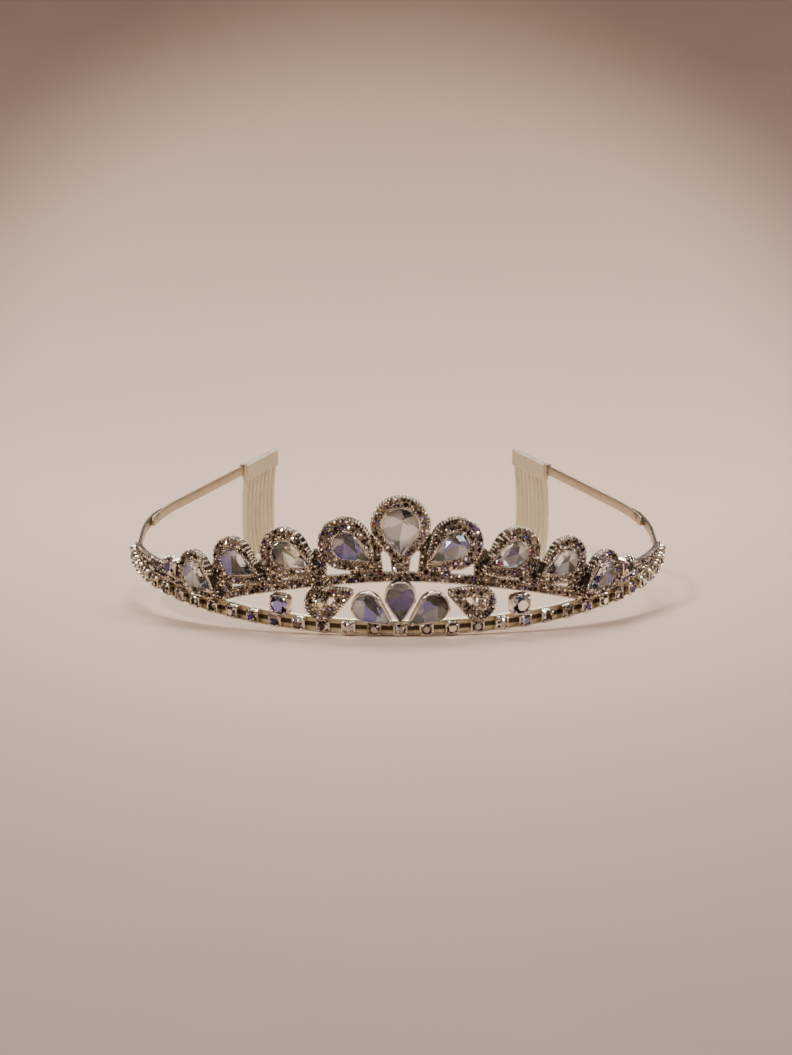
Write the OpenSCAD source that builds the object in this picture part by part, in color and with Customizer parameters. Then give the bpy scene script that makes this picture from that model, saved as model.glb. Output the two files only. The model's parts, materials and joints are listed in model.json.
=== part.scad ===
// Bridal tiara: a U-shaped headband with a stone-set front and a plastic comb on each arm.
// Millimetres, +Z up, the front towards -Y. It stands on the front rail and on the comb tips.

/* [Band] */
// Radius of the front arc, to the middle of the strip
front_r = 70; // [58:1:86]
// Straight run at each side, behind the front arc
side_run = 8; // [2:1:20]
// Radius of the rear shoulders
shoulder_r = 70; // [55:1:90]
// Angle that each shoulder turns inwards
shoulder_angle = 26; // [20:1:34]
// Straight run of each arm, from its shoulder to its end
arm_run = 59; // [45:1:75]
// Thickness of the metal strips
strip_t = 0.8; // [0.6:0.1:1.2]
// Height of the plain side strips and arms
arm_h = 2.8; // [2.2:0.1:3.6]

/* [Rail] */
// Height of the front rail
rail_h = 4; // [3.4:0.1:5.5]
// Half angle of the front arc that the rail covers
rail_half_angle = 85; // [76:1:88]
// Height of the wire along each edge of the rail
rim_h = 0.55; // [0.4:0.05:0.8]
// Height that the wires and the arch stand out from the rail's face
rim_out = 0.3; // [0.2:0.05:0.5]
// Distance from one rail stone to the next
cup_pitch = 6.37; // [5.5:0.01:8]

/* [Arch] */
// Height of the middle of the arch at its crown
arch_crown = 15.5; // [13.5:0.25:17]
// Width of the arch strip
arch_w = 2.3; // [1.8:0.1:3]
// Distance along the band from the crown to each foot
arch_reach = 56; // [50:1:62]
// Sharpness of the arch, 1 is a gable and 2 is a parabola
arch_power = 1.75; // [1.4:0.05:2.2]
// Width of the stem between arch and centre drop
stem_w = 4; // [2.4:0.1:5]

/* [Drops] */
// Radius of the round end of the centre halo
centre_halo_r = 7.2; // [6.6:0.1:8.2]
// Half width of the centre stone
centre_stone_r = 4.6; // [4:0.1:5]
// Half width of each side stone
side_stone_r = 3.4; // [3:0.1:3.9]
// Distance from a side stone's round centre to its tip
side_stone_len = 6.9; // [6:0.1:7.6]
// Thickness of the halo beds
bed_t = 2; // [1:0.1:2.1]
// Wall of the claw settings
claw_wall = 0.45; // [0.35:0.05:0.6]

/* [Small stones] */
// Diameter of the rail stones
rail_stone_d = 2.9; // [2:0.1:3]
// Diameter of the stones between rail and arch
spacer_stone_d = 4.9; // [4:0.1:5.4]
// Diameter of the stones beyond the last drops
outer_stone_d = 4.4; // [3.6:0.1:5]
// Diameter of the stones inside the loops
loop_stone_d = 2.6; // [2.2:0.1:3]

/* [Laps] */
// Shoulder angle where the arm's rounded end lies
lap_start = 10; // [8:1:11]
// Shoulder angle where the front strip ends
lap_end = 18; // [16:1:19]
// Diameter of the rivet in each lap
rivet_d = 1.4; // [1:0.1:1.6]

/* [Combs] */
// Length of each comb along its arm
comb_len = 19; // [16:1:30]
// Height of each comb from the spine's top to the tooth tips
comb_drop = 30; // [24:1:38]
// Height of the comb's spine
spine_h = 5; // [4.4:0.2:7]
// Thickness of the comb's spine
spine_t = 2; // [2:0.1:3]
// Thickness of the teeth
tooth_t = 1.6; // [1:0.1:1.9]
// Width of each tooth at its root
tooth_w = 1.5; // [1.2:0.1:1.8]
// Number of teeth on each comb
tooth_count = 8; // [6:1:10]
// Outward bow of the teeth at mid length
tooth_bow = 0.8; // [0.6:0.1:2.5]

/* [Hidden] */
$fn = 48;
solder = 0.05;
slide_gap = 0.05;
over = 1;
// Depth that sheets and large cutters run past the band
clear_by = 20;

strip_out = strip_t / 2;
rail_out = strip_out + 0.1;
deck = rail_out + rim_out;
arm_low = (rail_h - arm_h) / 2;
arm_top = arm_low + arm_h;
side_angle = rail_half_angle - 6;

// Middle of the arm's strip, one strip inside the front strip, and where its straight run starts
arm_r = shoulder_r - strip_t - slide_gap;
run_y = side_run + arm_r * sin(shoulder_angle);
heading = [-sin(shoulder_angle), cos(shoulder_angle)];

spine_end = 0.6;
tooth_margin = 0.9;
tooth_step = (comb_len - 2 * tooth_margin) / (tooth_count - 1);
tooth_tip_r = 0.31 * tooth_w;
tooth_side = tooth_t / 2 * sin(shoulder_angle);
teeth_len = comb_drop - spine_h;
first_tip_y = run_y + (arm_run - comb_len + tooth_margin) * heading[1] - tooth_side;
last_tip_y = run_y + (arm_run - tooth_margin) * heading[1] + tooth_side;

// Standing pose: the rail's foot and the first teeth touch the ground
rest_tilt = atan((comb_drop - arm_top) / (first_tip_y + front_r + deck));
rest_lift = (front_r + deck) * sin(rest_tilt);

// Setting heights over the deck, and the girdle that they hold
seat_floor = 0.5;
girdle_lift = 2.2;
girdle_t = 0.4;
pear_crown = 0.36;
pear_table = 0.62;
pear_keel = 0.3;
prong_r = 0.38;
prong_top = girdle_lift + girdle_t + 0.5;
prong_angles = [-15, 50, 130, 195];
cup_wall = 0.3;
cup_h = 1;
cup_reach = slide_gap + 2 * cup_wall;
cup_over = 0.4;
round_crown = 0.16;
round_table = 0.58;
round_keel = 0.2;
cup_z = rail_h / 2;
cup_count = 2 * floor(front_r * rail_half_angle * PI / 180 / cup_pitch) + 1;

// Drops from the centre outwards: place along the band, height, lean, halo radius, halo length
drops = [
    [0, 29.4, 0, centre_halo_r, 10.2],
    [13.5, 24.1, 51, 6.6, 9.4],
    [28.8, 20.3, 66, 6.4, 9.6],
    [43.4, 16.1, 66, 5.9, 9.5],
    [56.6, 10.2, 58, 5.5, 9.2]
];
halo_tip_r = 1.6;
centre_stone_len = 7;
stone_tip_r = 0.35;
centre_shift = 0.4;
side_shift = 0.5;
// How much further each side stone leans than its halo
side_turn = 7;

// Clusters from the arch up between the drops: outline points above the arch, place and height
clusters = [
    [[4.4, 17], [5, 21.6], [3.6, 23.6], [7.2, 26.5], [10, 22], [12.4, 16.5]],
    [[18.6, 18.5], [17.5, 20.5], [21.5, 21.6], [24, 19], [24.6, 14.4]],
    [[30.6, 14.3], [33, 17], [36.1, 17.4], [38.5, 15], [38.4, 9.8]],
    [[45.6, 8.5], [48, 13], [51.5, 14], [54, 10.5], [52, 6]]
];

// Lower pears: place along the band, height over the rail, lean, stone length
lower_pears = [
    [0, 6.9, 0, 6.3],
    [8.1, 3.9, 56, 6.9]
];
lower_stone_r = 3.5;

// Pavé loops: place, height over the rail, lean, outer radius, length, ring width
loop_s = 19.2;
loop_z = 4.2;
loop_lean = 115;
loop_r = 4.3;
loop_len = 8.6;
loop_w = 2.3;
loop_tip_r = 0.9;

// How far the stem runs behind the centre halo's tip, and how much wider it is there
stem_into = 2.6;
stem_flare = 0.5;

spacer_s = 30;
spacer_z = 2.7;
outer_s = 66;
outer_z = 5.2;

// End leaves: where they start, how high they start, and how fast they taper
leaf_start = 61;
leaf_h = 5;
leaf_tip_h = 0.8;
leaf_power = 0.8;

// Height of the arch's middle line at a place along the band
function arch_z(s) =
    rail_h - arch_w / 2
        + (arch_crown - rail_h + arch_w / 2) * (1 - pow(min(1, abs(s) / arch_reach), arch_power));

// Height of a leaf's top edge at a place along the band
function leaf_top(s) =
    rail_h + leaf_tip_h
        + (leaf_h - leaf_tip_h) * pow(max(0, 1 - (s - leaf_start) / (leaf_end - leaf_start)), leaf_power);
leaf_end = front_r * (rail_half_angle - 1) * PI / 180;

// The frontmost points are the centre stone's upper claws, and the rearmost are the last teeth
function tilt_y(y, z) = y * cos(rest_tilt) - z * sin(rest_tilt);
claw_reach = (centre_stone_r + slide_gap + prong_r) * sin(prong_angles[1]) + prong_r;
front_y = tilt_y(-(front_r + deck + prong_top), drops[0][1] - centre_shift + claw_reach);
back_y = tilt_y(last_tip_y, arm_top - comb_drop + tooth_tip_r) + tooth_tip_r;
middle_y = (front_y + back_y) / 2;

module stand() {
    translate([0, -middle_y, rest_lift])
        rotate([rest_tilt, 0, 0])
            children();
}

// Carries a flat piece to the band's front: its x runs along the band, its y up, its z outwards
module on_band(s, h, out = 0) {
    rotate([0, 0, s / front_r * 180 / PI])
        translate([0, -front_r - out, h])
            rotate([90, 0, 0])
                children();
}

// A curved shell that the arch and the leaves are cut from
module front_shell(inner, outer) {
    rotate([0, 0, 180])
        rotate_extrude(angle = 180, $fn = 96)
            translate([front_r + inner, -over])
                square([outer - inner, arch_crown + clear_by]);
}

// Points along an arc about a centre
function arc_points(centre, r, from, to, steps) =
    [for (i = [0:steps]) let (a = from + (to - from) * i / steps) centre + r * [cos(a), sin(a)]];

// A pear outline: a round end, a small tip arc below it, and the lines that touch both
module pear(r, len, tip_r, steps = 36) {
    tip_c = len - tip_r;
    lean = asin((r - tip_r) / tip_c);
    polygon(concat(
        arc_points([0, 0], r, -lean, 180 + lean, steps),
        arc_points([0, -tip_c], tip_r, 180 + lean, 360 - lean, 6)
    ));
}

function stone_r(i) = i == 0 ? centre_stone_r : side_stone_r;
function stone_len(i) = i == 0 ? centre_stone_len : side_stone_len;
function stone_shift(i) = i == 0 ? centre_shift : side_shift;
function stone_turn(i, side) = i == 0 ? 0 : -side * side_turn;

// Places a drop's pieces: side is 1 to the right, -1 to the left
module at_drop(i, side, out = 0) {
    on_band(side * drops[i][0], drops[i][1], deck + out)
        rotate([0, 0, -side * drops[i][2]])
            children();
}

// Places a drop's stone, a little lower than its halo and turned further
module at_stone(i, side, out = 0) {
    at_drop(i, side, out)
        rotate([0, 0, stone_turn(i, side)])
            translate([0, -stone_shift(i), 0])
                children();
}

module halo_outline(i, grow = 0) {
    pear(drops[i][3] + grow, drops[i][4] + grow, halo_tip_r + grow);
}

// Each claw round a pear stone: four round the end and one at the tip
module at_claws(r, len) {
    for (a = prong_angles)
        rotate([0, 0, a])
            translate([r + slide_gap + prong_r, 0, 0])
                children();
    translate([0, -len - slide_gap - prong_r, 0])
        children();
}

// The hole in a bed that a claw setting stands in
module setting_hole(r, len) {
    linear_extrude(bed_t + 2 * over) {
        pear(r + claw_wall + solder, len + claw_wall + solder, stone_tip_r + claw_wall + solder);
        at_claws(r, len)
            circle(r = prong_r + solder, $fn = 16);
    }
}

module halo(i, side) {
    color("silver")
        stand()
            difference() {
                at_drop(i, side)
                    linear_extrude(bed_t)
                        halo_outline(i);
                at_stone(i, side, -over)
                    setting_hole(stone_r(i), stone_len(i));
                if (i > 0)
                    at_drop(i - 1, side, -over)
                        linear_extrude(bed_t + 2 * over)
                            halo_outline(i - 1, solder);
            }
}

// A closed claw cup for a pear stone
module claw_setting(r, len) {
    wall_r = r + claw_wall;
    difference() {
        linear_extrude(girdle_lift)
            pear(wall_r, len + claw_wall, stone_tip_r + claw_wall);
        translate([0, 0, seat_floor])
            linear_extrude(girdle_lift)
                pear(r - claw_wall, len - 2 * claw_wall, stone_tip_r);
    }
    at_claws(r, len)
        cylinder(r = prong_r, h = prong_top, $fn = 16);
}

// A pear stone: a belly in the cup, a girdle on its rim, and a crown
module pear_stone(r, len) {
    belly = girdle_lift - seat_floor - slide_gap;
    crown = pear_crown * r;
    translate([0, 0, girdle_lift + slide_gap])
        linear_extrude(girdle_t)
            pear(r, len, stone_tip_r, 14);
    translate([0, 0, girdle_lift + slide_gap + girdle_t])
        linear_extrude(crown, scale = pear_table)
            pear(r, len, stone_tip_r, 14);
    translate([0, 0, girdle_lift + slide_gap])
        mirror([0, 0, 1])
            linear_extrude(belly, scale = pear_keel)
                pear(r - claw_wall - 2 * slide_gap, len - 2 * claw_wall - 2 * slide_gap, stone_tip_r, 14);
}

module setting(i, side) {
    color("gainsboro")
        stand()
            at_stone(i, side)
                claw_setting(stone_r(i), stone_len(i));
}

module stone(i, side) {
    color("lavender")
        stand()
            at_stone(i, side)
                pear_stone(stone_r(i), stone_len(i));
}

module at_lower(i, side, out = 0) {
    on_band(side * lower_pears[i][0], rail_h + lower_pears[i][1], deck + out)
        rotate([0, 0, -side * lower_pears[i][2]])
            children();
}

module lower_setting(i, side) {
    color("gainsboro")
        stand()
            at_lower(i, side)
                claw_setting(lower_stone_r, lower_pears[i][3]);
}

module lower_stone(i, side) {
    color("lavender")
        stand()
            at_lower(i, side)
                pear_stone(lower_stone_r, lower_pears[i][3]);
}

// A round cup with four claws
module round_cup(d, h) {
    r = d / 2;
    difference() {
        cylinder(r = r + cup_wall, h = h);
        translate([0, 0, h / 3])
            cylinder(r = r - cup_wall, h = h);
    }
    for (a = [45:90:315])
        rotate([0, 0, a])
            translate([r + slide_gap + cup_wall, 0, 0])
                cylinder(r = cup_wall, h = h + (round_crown + 0.02) * d, $fn = 16);
}

// A round stone on its cup's rim
module round_stone(d, h) {
    r = d / 2;
    translate([0, 0, h + slide_gap]) {
        cylinder(r1 = r, r2 = round_table * r, h = round_crown * d);
        mirror([0, 0, 1])
            cylinder(r1 = r - cup_wall - slide_gap, r2 = round_keel * r, h = h / 2);
    }
}

// An exact arc of strip on the front arc: from and to are angles from the middle
module front_arc(from, to, low, high, inner, outer) {
    rotate([0, 0, from - 90])
        rotate_extrude(angle = to - from, $fn = 96)
            translate([front_r + inner, low])
                square([outer - inner, high - low]);
}

// A flat strip that stands on edge along a line, from its outer and inner edge points
module standing_strip(outer, inner) {
    last = len(inner) - 1;
    translate([0, 0, arm_low])
        linear_extrude(arm_h)
            polygon(concat(outer, [for (i = [last:-1:0]) inner[i]]));
}

shoulder_c = [front_r - shoulder_r, side_run];

// One edge of the side strip, from inside the rail's end round to the lap
function side_edge(out) = concat(
    arc_points([0, 0], front_r + out, side_angle - 90, 0, 6),
    arc_points(shoulder_c, shoulder_r + out, 0, lap_end, 12)
);

// One edge of an arm, from the lap round the shoulder and along the straight run
function arm_edge(out) = concat(
    arc_points(shoulder_c, arm_r + out, lap_start, shoulder_angle, 12),
    [shoulder_c + (arm_r + out) * [cos(shoulder_angle), sin(shoulder_angle)] + arm_run * heading]
);

module at_lap(side) {
    mirror([side < 0 ? 1 : 0, 0, 0])
        translate([shoulder_c[0], shoulder_c[1], 0])
            rotate([0, 0, (lap_start + lap_end) / 2])
                translate([shoulder_r, 0, arm_low + arm_h / 2])
                    rotate([0, 90, 0])
                        children();
}

module front_rail() {
    color("silver")
        stand()
            difference() {
                union() {
                    front_arc(-rail_half_angle, rail_half_angle, 0, rail_h, -rail_out, rail_out);
                    for (z = [0, rail_h - rim_h])
                        front_arc(-rail_half_angle, rail_half_angle, z, z + rim_h, 0, deck);
                    for (m = [0, 1])
                        mirror([m, 0, 0])
                            standing_strip(side_edge(strip_out), side_edge(-strip_out));
                }
                for (side = [-1, 1])
                    at_lap(side)
                        cylinder(d = rivet_d + 2 * slide_gap, h = 4 * strip_t, center = true);
            }
}

module along_rail() {
    half = (cup_count - 1) / 2;
    for (i = [-half:half])
        on_band(i * cup_pitch, cup_z, deck + solder)
            children();
}

// Each rail cup rests on the two wires, and its foot stands in the channel between them
module rail_cups() {
    foot_r = min(rail_stone_d / 2, rail_h / 2 - rim_h - solder);
    color("gainsboro")
        stand()
            along_rail() {
                round_cup(rail_stone_d, cup_h);
                translate([0, 0, -rim_out])
                    cylinder(r = foot_r, h = rim_out + cup_h / 6);
            }
}

module rail_stones() {
    color("white")
        stand()
            along_rail()
                round_stone(rail_stone_d, cup_h);
}

// Band places and heights, seen from the front, with the places moved onto the chord
function from_front(spots) = [for (p = spots) [front_r * sin(p[0] / front_r * 180 / PI), p[1]]];

module arch_outline() {
    step = arch_reach / 20;
    spots = [for (s = [-arch_reach:step:arch_reach + step / 2]) s];
    count = len(spots) - 1;
    upper = [for (s = spots) [s, arch_z(s) + arch_w / 2]];
    lower = [for (i = [count:-1:0]) [spots[i], arch_z(spots[i]) - arch_w / 2]];
    polygon(from_front(concat(upper, lower)));
}

// A cluster's outline is closed by two feet on the middle of the arch
module cluster_outline(spots) {
    first = spots[0][0];
    last = spots[len(spots) - 1][0];
    polygon(from_front(concat([[first, arch_z(first)]], spots, [[last, arch_z(last)]])));
}

module arch_rail() {
    color("silver")
        stand()
            intersection() {
                front_shell(-rail_out, deck);
                difference() {
                    rotate([90, 0, 0])
                        linear_extrude(front_r + clear_by) {
                            arch_outline();
                            for (m = [0, 1])
                                mirror([m, 0, 0])
                                    for (spots = clusters)
                                        cluster_outline(spots);
                        }
                    translate([-front_r, -front_r - clear_by, rail_h - clear_by])
                        cube([2 * front_r, 2 * front_r, clear_by]);
                }
            }
}

module arch_stem() {
    stem_low = arch_crown + arch_w / 2 + solder;
    stem_high = drops[0][1] - drops[0][4] + stem_into;
    color("silver")
        stand()
            on_band(0, stem_low, -rail_out)
                linear_extrude(rail_out + deck)
                    polygon([
                        [-stem_w / 2, 0],
                        [stem_w / 2, 0],
                        [stem_w / 2 + stem_flare, stem_high - stem_low],
                        [-stem_w / 2 - stem_flare, stem_high - stem_low]
                    ]);
}

module at_loop(side, out = 0) {
    on_band(side * loop_s, rail_h + loop_z, deck + out)
        rotate([0, 0, -side * loop_lean])
            children();
}

module loop(side) {
    color("silver")
        stand()
            difference() {
                at_loop(side)
                    linear_extrude(bed_t)
                        difference() {
                            pear(loop_r, loop_len, loop_tip_r);
                            pear(loop_r - loop_w, loop_len - 2 * loop_w, 0.5);
                        }
                at_lower(1, side, -over)
                    setting_hole(lower_stone_r, lower_pears[1][3]);
            }
}

// The inner cup's claws touch the far side of its loop
module in_loops() {
    for (side = [-1, 1])
        at_loop(side)
            translate([0, loop_r - loop_w - loop_stone_d / 2 - cup_reach - solder])
                children();
}

module loop_cups() {
    color("gainsboro")
        stand()
            in_loops()
                round_cup(loop_stone_d, bed_t + cup_over);
}

module loop_stones() {
    color("white")
        stand()
            in_loops()
                round_stone(loop_stone_d, bed_t + cup_over);
}

module both_sides(s, h) {
    for (side = [-1, 1])
        on_band(side * s, h, deck)
            children();
}

module spacer_cups() {
    color("gainsboro")
        stand()
            both_sides(spacer_s, rail_h + spacer_z)
                round_cup(spacer_stone_d, girdle_lift);
}

module spacer_stones() {
    color("lavender")
        stand()
            both_sides(spacer_s, rail_h + spacer_z)
                round_stone(spacer_stone_d, girdle_lift);
}

module outer_cups() {
    color("gainsboro")
        stand()
            both_sides(outer_s, rail_h + outer_z)
                round_cup(outer_stone_d, girdle_lift);
}

module outer_stones() {
    color("lavender")
        stand()
            both_sides(outer_s, rail_h + outer_z)
                round_stone(outer_stone_d, girdle_lift);
}

// A leaf stands on the rail's top edge and tapers to the rail's end
module leaf(side) {
    middle = (leaf_start + leaf_end) / 2;
    step = (leaf_end - leaf_start) / 12;
    spots = [for (s = [leaf_start:step:leaf_end + step / 2]) s];
    edge = [for (s = spots) [front_r * sin((s - middle) / front_r * 180 / PI), leaf_top(s)]];
    low = rail_h + solder;
    color("silver")
        stand()
            mirror([side < 0 ? 1 : 0, 0, 0])
                intersection() {
                    front_shell(-rail_out, deck);
                    rotate([0, 0, middle / front_r * 180 / PI])
                        rotate([90, 0, 0])
                            linear_extrude(front_r + clear_by)
                                polygon(concat([[edge[0][0], low]], edge, [[edge[len(edge) - 1][0], low]]));
                }
}

// What is cut away to leave the arm's lapped end half round
module round_off() {
    translate([shoulder_c[0], shoulder_c[1], arm_low + arm_h / 2])
        rotate([0, 0, lap_start])
            translate([arm_r - over, 0, 0])
                rotate([0, 90, 0])
                    linear_extrude(2 * over)
                        difference() {
                            translate([-arm_h, -over])
                                square([2 * arm_h, over + arm_h / 2]);
                            translate([0, arm_h / 2])
                                circle(d = arm_h);
                        }
}

module arm(side) {
    color("silver")
        stand()
            mirror([side < 0 ? 1 : 0, 0, 0])
                difference() {
                    standing_strip(arm_edge(strip_out), arm_edge(-strip_out));
                    round_off();
                    at_lap(1)
                        cylinder(d = rivet_d + 2 * slide_gap, h = 6 * strip_t, center = true);
                }
}

// Each rivet passes through both strips and has a low head at each end
module arm_rivets() {
    head_h = 0.35;
    head_d = 1.7 * rivet_d;
    top_d = 1.2 * rivet_d;
    inner_face = strip_out + strip_t + slide_gap;
    color("gray")
        stand()
            for (side = [-1, 1])
                at_lap(side) {
                    translate([0, 0, -inner_face - solder])
                        cylinder(d = rivet_d, h = inner_face + strip_out + 2 * solder);
                    translate([0, 0, strip_out + solder])
                        cylinder(d1 = head_d, d2 = top_d, h = head_h);
                    translate([0, 0, -inner_face - solder - head_h])
                        cylinder(d1 = top_d, d2 = head_d, h = head_h);
                }
}

// Carries a piece to an arm's straight run: its y runs to the arm's end, its x outwards
module on_arm(side, along) {
    mirror([side < 0 ? 1 : 0, 0, 0])
        translate([shoulder_c[0], shoulder_c[1], 0])
            rotate([0, 0, shoulder_angle])
                translate([arm_r, along, 0])
                    children();
}

// A tooth narrows towards a round tip
module tooth_outline() {
    tip_z = tooth_tip_r - teeth_len;
    polygon([
        [-tooth_w / 2, over],
        [-tooth_tip_r, tip_z],
        [tooth_tip_r, tip_z],
        [tooth_w / 2, over]
    ]);
    translate([0, tip_z])
        circle(r = tooth_tip_r);
}

// The teeth are cut from a plate that bows outwards and comes back in line at the tips
module teeth() {
    chord = teeth_len / 2;
    bow_r = (chord * chord + tooth_bow * tooth_bow) / (2 * tooth_bow);
    sweep = asin(chord / bow_r) + 4;
    intersection() {
        translate([tooth_bow - bow_r, 0, -teeth_len / 2])
            rotate([-90, 0, 0])
                rotate([0, 0, -sweep])
                    rotate_extrude(angle = 2 * sweep, $fn = 96)
                        translate([bow_r - tooth_t / 2, 0])
                            square([tooth_t, comb_len]);
        for (i = [0:tooth_count - 1])
            translate([-clear_by / 2, tooth_margin + i * tooth_step, 0])
                rotate([90, 0, 90])
                    linear_extrude(clear_by)
                        tooth_outline();
    }
}

module comb(side) {
    slot_w = strip_t + 2 * slide_gap;
    color("wheat")
        stand()
            on_arm(side, arm_run - comb_len)
                translate([0, 0, arm_top]) {
                    difference() {
                        translate([-spine_t / 2, 0, -spine_h])
                            cube([spine_t, comb_len + slide_gap + spine_end, spine_h]);
                        translate([-slot_w / 2, -over, -arm_h - slide_gap])
                            cube([slot_w, comb_len + over + slide_gap, arm_h + over]);
                    }
                    translate([0, 0, -spine_h])
                        teeth();
                }
}

// A small sleeve round each arm where it enters the comb
module comb_crimps() {
    crimp_len = 1.6;
    crimp_wall = 0.4;
    inner = [strip_t + 2 * slide_gap, crimp_len + 2 * over, arm_h + 2 * slide_gap];
    color("gray")
        stand()
            for (side = [-1, 1])
                on_arm(side, arm_run - comb_len - crimp_len - solder)
                    translate([0, 0, arm_low - slide_gap])
                        difference() {
                            translate([-inner[0] / 2 - crimp_wall, 0, -crimp_wall])
                                cube([inner[0] + 2 * crimp_wall, crimp_len, inner[2] + 2 * crimp_wall]);
                            translate([-inner[0] / 2, -over, 0])
                                cube(inner);
                        }
}

front_rail();
rail_cups();
rail_stones();
arch_rail();
arch_stem();
halo(0, 1);  // halo_center
setting(0, 1);  // setting_center
stone(0, 1);  // stone_center
for (i = [1:4]) {
    halo(i, -1);
    halo(i, 1);
    setting(i, -1);
    setting(i, 1);
    stone(i, -1);
    stone(i, 1);
}
lower_setting(0, 1);  // lower_setting_center
lower_setting(1, -1);  // lower_setting_left
lower_setting(1, 1);  // lower_setting_right
lower_stone(0, 1);  // lower_stone_center
lower_stone(1, -1);  // lower_stone_left
lower_stone(1, 1);  // lower_stone_right
loop(-1);  // loop_left
loop(1);  // loop_right
loop_cups();
loop_stones();
spacer_cups();
spacer_stones();
outer_cups();
outer_stones();
leaf(-1);  // leaf_left
leaf(1);  // leaf_right
arm(-1);  // arm_left
arm(1);  // arm_right
arm_rivets();
comb(-1);  // comb_left
comb(1);  // comb_right
comb_crimps();
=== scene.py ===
import json
import math

import bpy
import numpy as np
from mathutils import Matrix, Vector


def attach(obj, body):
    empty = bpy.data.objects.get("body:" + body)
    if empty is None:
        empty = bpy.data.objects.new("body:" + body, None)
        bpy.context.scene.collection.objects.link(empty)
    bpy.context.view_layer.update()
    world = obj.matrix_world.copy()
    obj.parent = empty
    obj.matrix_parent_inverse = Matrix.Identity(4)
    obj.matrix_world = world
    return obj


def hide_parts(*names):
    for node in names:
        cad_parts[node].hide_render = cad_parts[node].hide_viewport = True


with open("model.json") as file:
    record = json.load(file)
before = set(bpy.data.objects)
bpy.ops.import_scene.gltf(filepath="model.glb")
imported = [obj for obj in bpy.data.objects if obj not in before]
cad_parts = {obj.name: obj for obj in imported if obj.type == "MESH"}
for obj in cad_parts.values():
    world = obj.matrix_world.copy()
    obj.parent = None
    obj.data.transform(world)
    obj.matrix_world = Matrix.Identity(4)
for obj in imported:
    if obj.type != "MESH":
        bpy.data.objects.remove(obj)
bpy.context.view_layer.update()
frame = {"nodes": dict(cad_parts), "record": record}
nodes = frame["nodes"]
mm = 0.001

# ---- the band's own frame: x to the right, y to the back, z up, from the centre of its circle

headBand = next(m for m in frame["record"]["mounts"] if m["name"] == "head_band")
bandUp = np.array(headBand["axis"], float) / np.linalg.norm(headBand["axis"])
bandSide = np.array([1.0, 0, 0])
upward = np.array([0, 0, 1.0])
bandAxes = np.stack([bandSide, np.cross(bandUp, bandSide), bandUp])
bandFoot = np.array(headBand["pos_m"]) - bandUp * headBand["dims"]["length_mm"] * mm / 2

bandSet = {
    "radius": headBand["dims"]["r_mm"] * mm + 0.5 * mm,   # to the middle of the strip
    "sideRun": 8 * mm,
    "shoulderRadius": 70 * mm,
    "shoulderAngle": math.radians(26),
    "armRun": 59 * mm,
}


def toWorld(points):
    return bandFoot + points @ bandAxes


def toBand(points):
    return (points - bandFoot) @ bandAxes.T


def nodeShape(name):
    mesh = nodes[name].data
    co = np.empty(len(mesh.vertices) * 3, np.float32)
    mesh.vertices.foreach_get("co", co)
    mesh.calc_loop_triangles()
    tris = np.empty(len(mesh.loop_triangles) * 3, np.int32)
    mesh.loop_triangles.foreach_get("vertices", tris)
    return toBand(co.reshape(-1, 3).astype(float)), tris.reshape(-1, 3)


def addObject(name, data):
    item = bpy.data.objects.new(name, data)
    bpy.context.scene.collection.objects.link(item)
    return item


def unit(v):
    return v / np.linalg.norm(v, axis=-1, keepdims=True)


# Axes of the tangent plane at a distance along the front arc: along, up, outwards
def frontAxes(s):
    a = np.asarray(s) / bandSet["radius"]
    zero, one = np.zeros_like(a), np.ones_like(a)
    along = np.stack([np.cos(a), np.sin(a), zero], -1)
    outward = np.stack([np.sin(a), -np.cos(a), zero], -1)
    return np.stack([along, np.stack([zero, zero, one], -1), outward], -2)


# ---- mesh helpers

def atLevel(flat, z):
    return np.concatenate([flat, np.full((len(flat), 1), z)], 1)


# Faces of a grid of rows by columns; the columns always close round, the rows only if asked
def gridFaces(rows, columns, closedRows=False):
    last = rows if closedRows else rows - 1
    i, j = np.meshgrid(np.arange(last), np.arange(columns), indexing="ij")
    i2, j2 = (i + 1) % rows, (j + 1) % columns
    corners = [i * columns + j, i * columns + j2, i2 * columns + j2, i2 * columns + j]
    return np.stack(corners, -1).reshape(-1, 4)


# A closed profile carried along stations; each end is closed with one face
def tube(grid):
    rows, columns = grid.shape[:2]
    faces = gridFaces(rows, columns).tolist()
    faces.append(list(range(columns))[::-1])
    faces.append([(rows - 1) * columns + j for j in range(columns)])
    return grid.reshape(-1, 3), faces


# Copies of one shape: each point is taken along the three axes of every place
def copies(shape, origins, axes, sizes=None):
    points, faces = shape
    sizes = np.ones(len(origins)) if sizes is None else sizes
    placed = origins[:, None] + np.einsum("nk,mkj->mnj", points, axes * sizes[:, None, None])
    allFaces = [[v + m * len(points) for v in f] for m in range(len(origins)) for f in faces]
    return placed.reshape(-1, 3), allFaces


def joined(shapes):
    points, faces, count = [], [], 0
    for p, f in shapes:
        points.append(p)
        faces.extend([[v + count for v in face] for face in f])
        count += len(p)
    return np.concatenate(points), faces


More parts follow.
